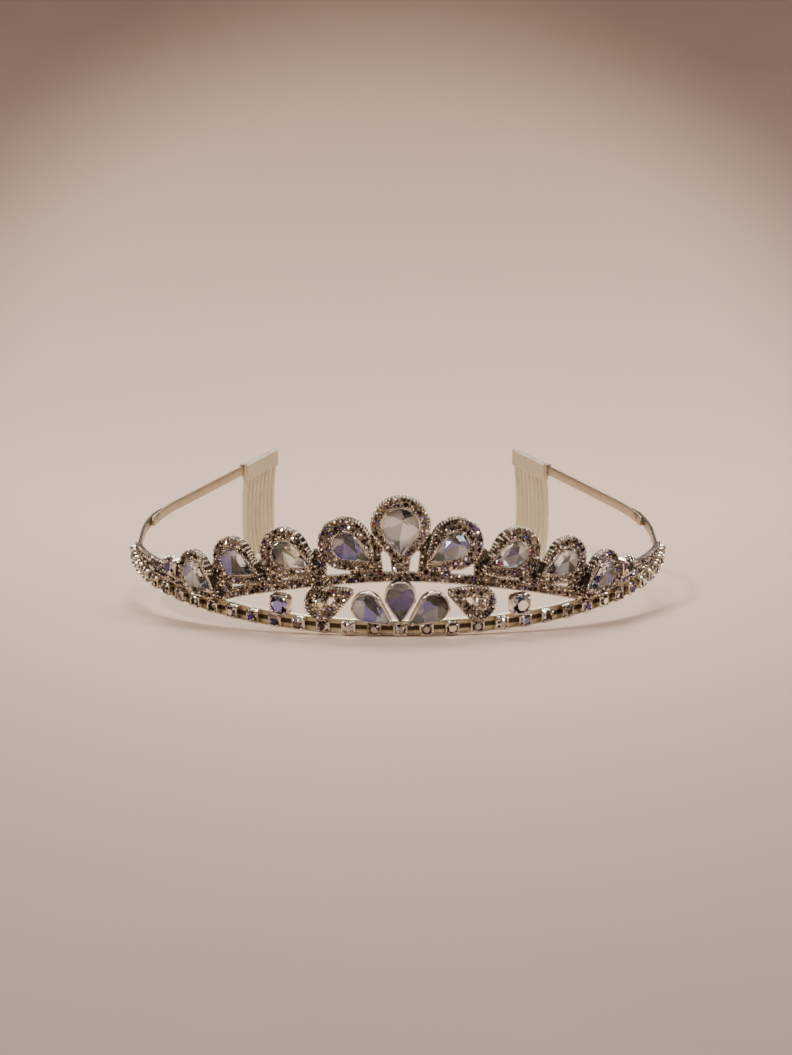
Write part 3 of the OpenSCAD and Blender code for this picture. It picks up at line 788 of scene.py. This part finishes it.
# The outer face of a bed laid flat: its points, its triangles, and how to stand on it again
# The outer face of a bed laid flat: its points, its triangles, and how to stand on it again
def openBed(name):
    points, tris = nodeShape(name)
    if name.startswith(("halo", "loop")):
        out, along = facing(points, tris)
        level = points @ out
        flat = np.stack([points @ along, points[:, 2]], -1)
        axes = np.stack([along, upward, out])
        top = level.max()

        def stand(q):
            return q[:, :1] * along + q[:, 1:] * upward + out * top, np.repeat(axes[None], len(q), 0)
    else:
        level = np.hypot(points[:, 0], points[:, 1])
        flat = np.stack([np.arctan2(points[:, 0], -points[:, 1]) * bandSet["radius"], points[:, 2]], -1)
        top = np.percentile(level, 90) if name == "arch_rail" else level.max()

        def stand(q):
            axes = frontAxes(q[:, 0])
            return axes[:, 2] * top + q[:, 1:] * upward, axes
    outer = (level[tris] > level.max() - 0.09 * mm).all(1)
    return flat, tris[outer], stand


# Edges that only one triangle uses, as pairs of ends
def bedEdges(flat, tris):
    spots, index = np.unique(np.round(flat / 1e-6).astype(int), axis=0, return_inverse=True)
    index = index.reshape(-1)
    t = index[tris]
    edges = np.concatenate([t[:, [0, 1]], t[:, [1, 2]], t[:, [2, 0]]])
    edges = edges[edges[:, 0] != edges[:, 1]]
    count = len(spots)
    code, back = edges[:, 0] * count + edges[:, 1], edges[:, 1] * count + edges[:, 0]
    free = edges[~np.isin(code, back)]
    return spots[free[:, 0]] * 1e-6, spots[free[:, 1]] * 1e-6


def edgeDistance(q, a, b):
    span = b - a
    t = np.clip(np.einsum("qek,ek->qe", q[:, None] - a, span) / (span ** 2).sum(1), 0, 1)
    near = a + t[..., None] * span
    return np.linalg.norm(q[:, None] - near, axis=2).min(1)


# Takes the candidates in order and keeps each that is clear of all kept before it
def keepClear(candidates, radius, kept, keptRadius):
    spots, radii = list(kept), list(keptRadius)
    chosen = []
    for q in candidates:
        if spots:
            gap = np.hypot(*(np.array(spots) - q).T) - np.array(radii) - radius
            if gap.min() < 0:
                continue
        spots.append(q)
        radii.append(radius)
        chosen.append(q)
    return chosen


def insideBed(q, flat, tris):
    a, b, c = (flat[tris[:, i]] for i in range(3))
    cross = lambda u, v: u[..., 0] * v[..., 1] - u[..., 1] * v[..., 0]
    p = q[:, None]
    sides = [cross(y - x, p - x) for x, y in ((a, b), (b, c), (c, a))]
    return ((sides[0] >= 0) & (sides[1] >= 0) & (sides[2] >= 0)).any(1)


# Walks a bed's edges in turn round its middle: the edges' ends, places a step apart, and the way in
def edgeWalk(flat, tris, pace):
    a, b = bedEdges(flat, tris)
    span = b - a
    length = np.linalg.norm(span, axis=1)
    used = length > 1e-7
    a, b, span, length = a[used], b[used], span[used], length[used]
    order = np.argsort(np.round(np.arctan2(*(a - flat.mean(0)).T), 2), kind="stable")
    counts = np.maximum(1, np.ceil(length / pace)).astype(int)
    which = np.repeat(order, counts[order])
    step = np.concatenate([(np.arange(n) + 0.5) / n for n in counts[order]])
    inward = np.stack([-span[:, 1], span[:, 0]], -1) / length[:, None]
    return a, b, a[which] + span[which] * step[:, None], inward[which]


# Whole stones in up to three rows from the edge in, small stones in the gaps, and grains between them
def paveSpots(flat, tris, rng):
    a, b, edge, inward = edgeWalk(flat, tris, paveSet["edgeStep"])
    stones, radius = [], paveSet["pitch"] / 2
    for row in range(3):
        inset = paveSet["inset"] + row * paveSet["pitch"] * 0.92
        q = edge + inward * inset
        q = q[edgeDistance(q, a, b) > inset - 0.03 * mm]
        q = q[insideBed(q, flat, tris)] if len(q) else q
        stones += keepClear(q, radius, stones, [radius] * len(stones))
    low, high = flat[tris].min((0, 1)), flat[tris].max((0, 1))
    size = high - low
    spare = low + rng.random((int(size[0] * size[1] / (0.16 * mm) ** 2), 2)) * size
    spare = spare[insideBed(spare, flat, tris)]
    room = edgeDistance(spare, a, b)
    smallRadius = paveSet["small"] / 2
    smalls = keepClear(spare[room > smallRadius + 0.02 * mm], smallRadius, stones, [radius * 0.94] * len(stones))
    taken = stones + smalls
    radii = [paveSet["size"] / 2] * len(stones) + [smallRadius] * len(smalls)
    beads = keepClear(spare[room > paveSet["bead"] * 0.7], paveSet["bead"] * 0.8, taken, radii)
    return np.array(stones).reshape(-1, 2), np.array(smalls).reshape(-1, 2), np.array(beads).reshape(-1, 2)


# Places along a bed's rim, a grain apart; the phase shifts where the row starts
def rimSpots(flat, tris, phase):
    edge, inward = edgeWalk(flat, tris, paveSet["rimStep"])[2:]
    q = edge + inward * 0.06 * mm
    return np.array(keepClear(np.roll(q, phase, axis=0), paveSet["grain"] * 1.12, [], []))


# A low dome of two rings and a top point, closed below
def beadShape(radius):
    a = np.arange(6) / 6 * 2 * math.pi
    rings = [np.stack([np.cos(a) * r, np.sin(a) * r, np.full(6, z)], -1) * radius
             for r, z in ((1.0, -0.4), (0.9, 0.5))]
    points = np.concatenate([*rings, [[0, 0, 1.05 * radius]]])
    faces = [[i, (i + 1) % 6, 6 + (i + 1) % 6, 6 + i] for i in range(6)]
    faces += [[6 + i, 6 + (i + 1) % 6, 12] for i in range(6)]
    return points, faces + [[5, 4, 3, 2, 1, 0]]


# A small stone of eight sides: a table, sixteen crown facets and a flat base
def chipShape():
    line = ringLine(0.5, 8)
    c, s = math.cos(math.pi / 8), math.sin(math.pi / 8)
    ring = ringLine(0.24, 8) @ np.array([[c, s], [-s, c]])
    points = np.concatenate([atLevel(line, -0.08), atLevel(ring, 0.2)])
    faces = [[8 + j for j in range(8)], [7, 6, 5, 4, 3, 2, 1, 0]]
    for j in range(8):
        faces.append([j, (j + 1) % 8, 8 + j])
        faces.append([(j + 1) % 8, 8 + (j + 1) % 8, 8 + j])
    return points, faces


# Tips each set of axes a little, and turns it about its own outward axis
def shaken(axes, rng, tilt):
    turn = rng.uniform(0, 2 * math.pi, len(axes))
    x = np.cos(turn)[:, None] * axes[:, 0] + np.sin(turn)[:, None] * axes[:, 1]
    y = np.cos(turn)[:, None] * axes[:, 1] - np.sin(turn)[:, None] * axes[:, 0]
    tip = rng.normal(0, tilt, (len(axes), 2))
    z = unit(axes[:, 2] + tip[:, :1] * x + tip[:, 1:] * y)
    x = unit(x - (x * z).sum(1, keepdims=True) * z)
    return np.stack([x, np.cross(z, x), z], 1)


def makePave():
    rng = np.random.default_rng(5)
    chip, bead, rim = chipShape(), beadShape(paveSet["bead"]), beadShape(paveSet["grain"])
    total = 0
    for name in paveSet["beds"]:
        flat, tris, stand = openBed(name)
        stones, smalls, beads = paveSpots(flat, tris, rng)
        total += len(stones) + len(smalls)
        spots = np.concatenate([stones, smalls])
        widths = np.concatenate([np.full(len(stones), paveSet["size"]), np.full(len(smalls), paveSet["small"])])
        widths = widths * rng.uniform(0.95, 1.03, len(widths))
        origins, axes = stand(spots)
        axes = shaken(axes, rng, 0.14)
        shape = copies(chip, origins + axes[:, 2] * 0.12 * mm, axes, widths)
        # painted reflections: each chip's facets get painted glints and painted dark reflections
        whole = pickPaintedReflections(paveSet["reflectionTones"], len(spots), rng)
        single = pickPaintedReflections(paveSet["reflectionTones"], len(shape[1]), rng)
        mix = rng.random((len(shape[1]), 1)) < 0.6
        colours = np.where(mix, single, np.repeat(whole, len(chip[1]), 0))
        makePiece("pave_" + name, shape, paveFoil, colours=colours, smoothAngle=0)
        origins, axes = stand(beads)
        grains = [copies(bead, origins, axes)]
        levels = paveSet["rims"] if name.startswith(("halo", "loop")) else paveSet["rims"][:1]
        for k, level in enumerate(levels):
            origins, axes = stand(rimSpots(flat, tris, 3 * k))
            grains.append(copies(rim, origins + axes[:, 2] * level, axes))
        makePiece("beads_" + name, joined(grains), finishes["beadPlating"], smoothAngle=80)
        refinish(name, "bedPlating")
    print("pave stones:", total)


makePave()

# ---- rail, side strips and arms

railSet = {
    "height": 4 * mm, "halfAngle": math.radians(85), "back": -0.5 * mm, "face": 0.5 * mm,
    "wire": 0.8 * mm, "wireHeight": 0.55 * mm, "soft": 0.12 * mm,
}
stripSet = {
    "low": 0.6 * mm, "height": 2.8 * mm, "thick": 0.8 * mm, "corner": 0.28 * mm,
    "start": math.radians(11),    # how far inside the rail's quarter turn the side strip starts
    "lapStart": math.radians(10), "lapEnd": math.radians(18), "inset": 0.85 * mm,
    "taper": 5 * mm, "roundEnd": 1.4 * mm,
}


# Place and outward direction at a distance behind the front arc's end: the front arc, a straight
# side, the shoulder arc and the straight arm, one after another
def sideLine(t, offset):
    R, run, r = bandSet["radius"], bandSet["sideRun"], bandSet["shoulderRadius"]
    bend = bandSet["shoulderAngle"]
    turn = np.where(t < 0, t / R, np.clip((t - run) / r, 0, bend))
    outward = np.stack([np.cos(turn), np.sin(turn), 0 * t], -1)
    forward = np.stack([-np.sin(turn), np.cos(turn), 0 * t], -1)
    front = outward * R
    side = np.stack([0 * t + R, t, 0 * t], -1)
    shoulder = np.stack([0 * t + R - r, 0 * t + run, 0 * t], -1) + outward * r
    arm = shoulder + forward * np.maximum(0, t - run - r * bend)[:, None]
    place = np.where((t < 0)[:, None], front, np.where((t < run)[:, None], side, arm))
    return place + outward * offset, outward


def mirrored(shape, side):
    if side > 0:
        return shape
    return shape[0] * [-1, 1, 1], [list(f)[::-1] for f in shape[1]]


# Points round a rectangle's middle: a circle of the corners' radius, pushed out to each corner
def roundRectangle(thick, height, corner, count):
    a = np.arange(count) / count * 2 * math.pi + math.pi / count
    x = np.sign(np.cos(a)) * (thick / 2 - corner) + np.cos(a) * corner
    return x, np.sign(np.sin(a)) * (height / 2 - corner) + np.sin(a) * corner


# A strip's section, and how near each point of it is to the top or foot, which sets how much painted shade
# darkens its edges
def stripSection(thick, height, corner):
    x, z = roundRectangle(thick, height, corner, 24)
    near = np.clip((np.abs(z) - (height / 2 - 1.6 * corner)) / (1.2 * corner), 0, 1)
    return np.stack([x, z], -1), near


# A strip carried along the side line. Its start may be round, and towards a lap's end its outer
# face slopes in over a few millimetres
def sweptStrip(t, offset, roundStart=0.0, taper=0.0):
    section, near = stripSection(stripSet["thick"], stripSet["height"], stripSet["corner"])
    place, outward = sideLine(t, offset)
    into = np.clip((t - t[0]) / max(roundStart, 1e-6), 0, 1)
    squash = np.sqrt(np.clip(1 - (1 - into) ** 2, 0.01, 1))
    thin = np.clip((t[-1] - t) / taper, 0.2, 1)[:, None] if taper else np.ones((len(t), 1))
    across = section[:, 0] * thin - (1 - thin) * stripSet["thick"] / 2
    grid = place[:, None] + outward[:, None] * across[..., None]
    rise = stripSet["low"] + stripSet["height"] / 2 + section[None, :, 1:] * squash[:, None, None]
    grid = grid + upward * rise
    return tube(grid[:, ::-1]), np.tile(near[::-1], len(t))


def makeRail():
    a = np.linspace(-railSet["halfAngle"], railSet["halfAngle"], 181)
    h, w, b, f, e, soft = (railSet[k] for k in ("height", "wireHeight", "back", "face", "wire", "soft"))
    section = np.array([
        [b, soft], [b + soft, 0], [e - 0.2 * mm, 0], [e - 0.06 * mm, 0.08 * mm], [e, w / 2],
        [e - 0.06 * mm, w - 0.08 * mm], [f + 0.04 * mm, w], [f, w + 0.1 * mm], [f, 0.30 * h], [f, 0.38 * h],
        [f, 0.62 * h], [f, 0.68 * h], [f, h - w - 0.1 * mm], [f + 0.04 * mm, h - w],
        [e - 0.06 * mm, h - w + 0.08 * mm], [e, h - w / 2], [e - 0.06 * mm, h - 0.08 * mm],
        [e - 0.2 * mm, h], [b + soft, h], [b, h - soft]])
    # the channel between the wires is darkened with painted shade
    paintedShadeGroove = (np.abs(section[:, 0] - f) < 0.01 * mm) & (np.abs(section[:, 1] - 0.5 * h) < 0.13 * h)
    outward = np.stack([np.sin(a), -np.cos(a), 0 * a], -1)
    grid = outward[:, None] * (bandSet["radius"] + section[None, :, :1]) + upward * section[None, :, 1:]
    shapes, edges = [tube(grid)], [np.tile(paintedShadeGroove, len(a))]
    start = -stripSet["start"] * bandSet["radius"]
    end = bandSet["sideRun"] + bandSet["shoulderRadius"] * stripSet["lapEnd"]
    strip, near = sweptStrip(np.linspace(start, end, 90), 0, taper=stripSet["taper"])
    for side in (1, -1):
        shapes.append(mirrored(strip, side))
        edges.append(near)
    # the rail's groove and its side strips' top and foot edges carry painted shade
    makePiece("frontRail", joined(shapes), finishes["railPlating"], ("front_rail",),
              edge=np.concatenate(edges))


def makeArms():
    lap = bandSet["sideRun"] + bandSet["shoulderRadius"] * stripSet["lapStart"]
    end = bandSet["sideRun"] + bandSet["shoulderRadius"] * bandSet["shoulderAngle"] + bandSet["armRun"]
    tip = stripSet["roundEnd"]
    t = np.concatenate([lap + np.linspace(0, 1, 9) ** 2 * tip, np.linspace(lap + 2 * mm, end, 100)])
    for side, name in ((1, "arm_right"), (-1, "arm_left")):
        shape, near = sweptStrip(t, -stripSet["inset"], roundStart=tip)
        # the arm strips' top and foot edges carry painted shade
        makePiece("plain_" + name, mirrored(shape, side),
                  finishes["armPlating"], (name,), edge=near)
    for name in ("arm_rivets", "comb_crimps"):
        refinish(name, "dullPlating")


makeRail()
makeArms()
print("rail and arms drawn")

# ---- combs

combSet = {
    "length": 19.65 * mm,     # the spine with its closed end
    "pitchLength": 19 * mm,
    "spine": 5 * mm, "thick": 2 * mm, "corner": 0.5 * mm, "ends": 0.4 * mm, "shrink": 0.35 * mm,
    "drop": 30 * mm, "top": 3.4 * mm,
    "teeth": 8, "margin": 0.9 * mm, "root": 1.5 * mm, "tip": 0.93 * mm, "toothThick": 1.6 * mm, "bow": 0.8 * mm,
    "voxel": 0.2 * mm,
}


# One tooth: an oval section carried down a shallow arc, narrower to the tip and closed by a round end
def toothShape(along):
    c = combSet
    low, high = -c["drop"], -c["spine"] + 1.5 * mm
    u = 1 - (1 - np.linspace(0, 1, 40)) ** 1.6
    z = high + (low - high) * u
    fall = (z + c["spine"]) / (c["spine"] - c["drop"])
    chord = (c["drop"] - c["spine"]) / 2
    radius = (chord ** 2 + c["bow"] ** 2) / (2 * c["bow"])
    bow = c["bow"] - radius + np.sqrt(radius ** 2 - (z - (low - c["spine"]) / 2) ** 2)
    end = np.sqrt(np.clip(1 - (1 - np.clip((z - low) / (0.5 * c["tip"]), 0, 1)) ** 2, 0.004, 1))
    width = (c["root"] + (c["tip"] - c["root"]) * np.clip(fall, 0, 1)) / 2 * end
    thick = c["toothThick"] / 2 * end * (1 - 0.25 * np.clip(fall, 0, 1))
    a = np.arange(16) / 16 * 2 * math.pi
    power = lambda v: np.sign(v) * np.abs(v) ** 0.75
    grid = np.empty((len(z), 16, 3))
    grid[..., 0] = bow[:, None] + thick[:, None] * power(np.cos(a))
    grid[..., 1] = along + width[:, None] * power(np.sin(a))
    grid[..., 2] = z[:, None]
    return tube(grid[:, ::-1])


# The spine is a long rounded bar: a soft rectangle carried along, smaller towards both ends
def spineShape():
    c = combSet
    first, last = np.linspace(0, 0.4, 6) * mm, np.linspace(0.4, 0, 6) * mm
    y = np.concatenate([first, np.linspace(1 * mm, c["length"] - 1 * mm, 24), c["length"] - last])
    edge = np.minimum(y, c["length"] - y) / c["ends"]
    ease = c["shrink"] * (1 - np.sqrt(np.clip(1 - (1 - np.clip(edge, 0, 1)) ** 2, 0, 1)))
    x, z = roundRectangle(c["thick"], c["spine"], c["corner"], 32)
    grid = np.empty((len(y), 32, 3))
    grid[..., 0] = x - np.sign(x) * ease[:, None]
    grid[..., 1] = y[:, None]
    grid[..., 2] = z - np.sign(z) * ease[:, None] - c["spine"] / 2
    return tube(grid)


def makeCombs():
    c = combSet
    step = (c["pitchLength"] - 2 * c["margin"]) / (c["teeth"] - 1)
    shape = joined([spineShape()] + [toothShape(c["margin"] + i * step) for i in range(c["teeth"])])
    turn = bandSet["shoulderAngle"]
    outward = np.array([math.cos(turn), math.sin(turn), 0])
    forward = np.array([-math.sin(turn), math.cos(turn), 0])
    start = np.array([bandSet["radius"] - bandSet["shoulderRadius"], bandSet["sideRun"], c["top"]])
    start = start + outward * (bandSet["shoulderRadius"] - stripSet["inset"])
    start = start + forward * (bandSet["armRun"] - c["pitchLength"])
    placed = (start + shape[0] @ np.stack([outward, forward, upward]), shape[1])
    for side, name in ((1, "comb_right"), (-1, "comb_left")):
        piece = makePiece("clear_" + name, mirrored(placed, side), combPlastic, (name,),
                          smoothAngle=60)
        merge = piece.modifiers.new("merge", "REMESH")
        merge.mode = "VOXEL"
        merge.voxel_size = c["voxel"]
        merge.use_smooth_shade = True
        ease = piece.modifiers.new("ease", "SMOOTH")
        ease.factor, ease.iterations = 0.5, 3
        done = bpy.data.meshes.new_from_object(piece.evaluated_get(bpy.context.evaluated_depsgraph_get()))
        piece.modifiers.clear()
        piece.data = done
        piece.data.shade_smooth()


makeCombs()
print("combs moulded")

# ---- backdrop and light

stageSet = {"flat": 0.5, "curve": 1.0, "wall": 0.6}


# A round floor that curves up into a wall: one profile turned about the upright axis
def makeBackdrop():
    s = stageSet
    bend = np.linspace(0, math.pi / 2, 24)
    flat = np.linspace(0.001, s["flat"], 30)
    radius = np.concatenate([flat, s["flat"] + s["curve"] * np.sin(bend)[1:], [s["flat"] + s["curve"]]])
    height = np.concatenate([0 * flat, s["curve"] * (1 - np.cos(bend))[1:], [s["curve"] + s["wall"]]])
    a = np.arange(96) / 96 * 2 * math.pi
    grid = np.stack([radius[:, None] * np.cos(a), radius[:, None] * np.sin(a), height[:, None] + 0 * a], -1)
    faces = gridFaces(len(radius), 96).tolist() + [list(range(96))]
    mesh = bpy.data.meshes.new("backdrop")
    mesh.from_pydata(grid.reshape(-1, 3).tolist(), [], [f[::-1] for f in faces[:-1]] + [faces[-1]])
    # the backdrop carries the painted light pool and its painted shade
    mesh.materials.append(makePaintedPoolPaper())
    mesh.shade_smooth()
    addObject("backdrop", mesh)


lightSet = {
    "top": {"at": (0.0, 0.32, 0.95), "size": (0.5, 0.4), "watts": 8.5, "colour": (1.0, 0.96, 0.90)},
    "keyLeft": {"at": (-0.5, -0.55, 0.75), "size": (0.12, 0.12), "watts": 4.0, "colour": (1.0, 0.97, 0.93)},
    "stripRight": {"at": (0.6, -0.4, 0.5), "size": (0.08, 0.5), "watts": 2.0, "colour": (0.95, 0.93, 1.0)},
    "warmSpot": {"at": (-0.16, -0.85, 0.5), "size": (0.035, 0.035), "watts": 1.0, "colour": (1.0, 0.88, 0.66)},
    "coolSpot": {"at": (0.22, -0.8, 0.34), "size": (0.05, 0.05), "watts": 0.7, "colour": (0.86, 0.84, 1.0)},
    "lowSpot": {"at": (-0.34, -0.8, 0.2), "size": (0.05, 0.05), "watts": 0.5, "colour": (1.0, 0.97, 0.92)},
    "highSpot": {"at": (0.1, -0.5, 0.85), "size": (0.045, 0.045), "watts": 1.2, "colour": (1.0, 0.98, 0.95)},
    "backRim": {"at": (0.1, 0.75, 0.6), "size": (0.6, 0.1), "watts": 2.0, "colour": (1.0, 0.95, 0.9)},
}


def makeLights():
    for name, values in lightSet.items():
        data = bpy.data.lights.new(name, "AREA")
        data.shape = "RECTANGLE"
        data.size, data.size_y = values["size"]
        data.energy = values["watts"]
        data.color = values["colour"]
        lamp = addObject(name, data)
        lamp.location = values["at"]
        lamp.rotation_mode = "QUATERNION"
        lamp.rotation_quaternion = (-Vector(values["at"])).to_track_quat("-Z", "Y")


roomSet = {"low": (0.10, 0.08, 0.075), "high": (0.42, 0.38, 0.36), "range": (-0.1, 1.0), "strength": 0.8}


# A dim room: dark low down, a little lighter overhead
def makeRoom():
    world = bpy.data.worlds.new("room")
    bpy.context.scene.world = world
    world.use_nodes = True
    tree = world.node_tree
    back = tree.nodes["Background"]
    where = addNode(tree, "ShaderNodeTexCoord").outputs["Generated"]
    up = addNode(tree, "ShaderNodeSeparateXYZ", {"Vector": where}).outputs["Z"]
    colour = mixColours(tree, remap(tree, up, roomSet["range"]), roomSet["low"], roomSet["high"])
    tree.links.new(colour, back.inputs["Color"])
    back.inputs["Strength"].default_value = roomSet["strength"]


makeBackdrop()
makeLights()
makeRoom()
print("stage and lights ready")
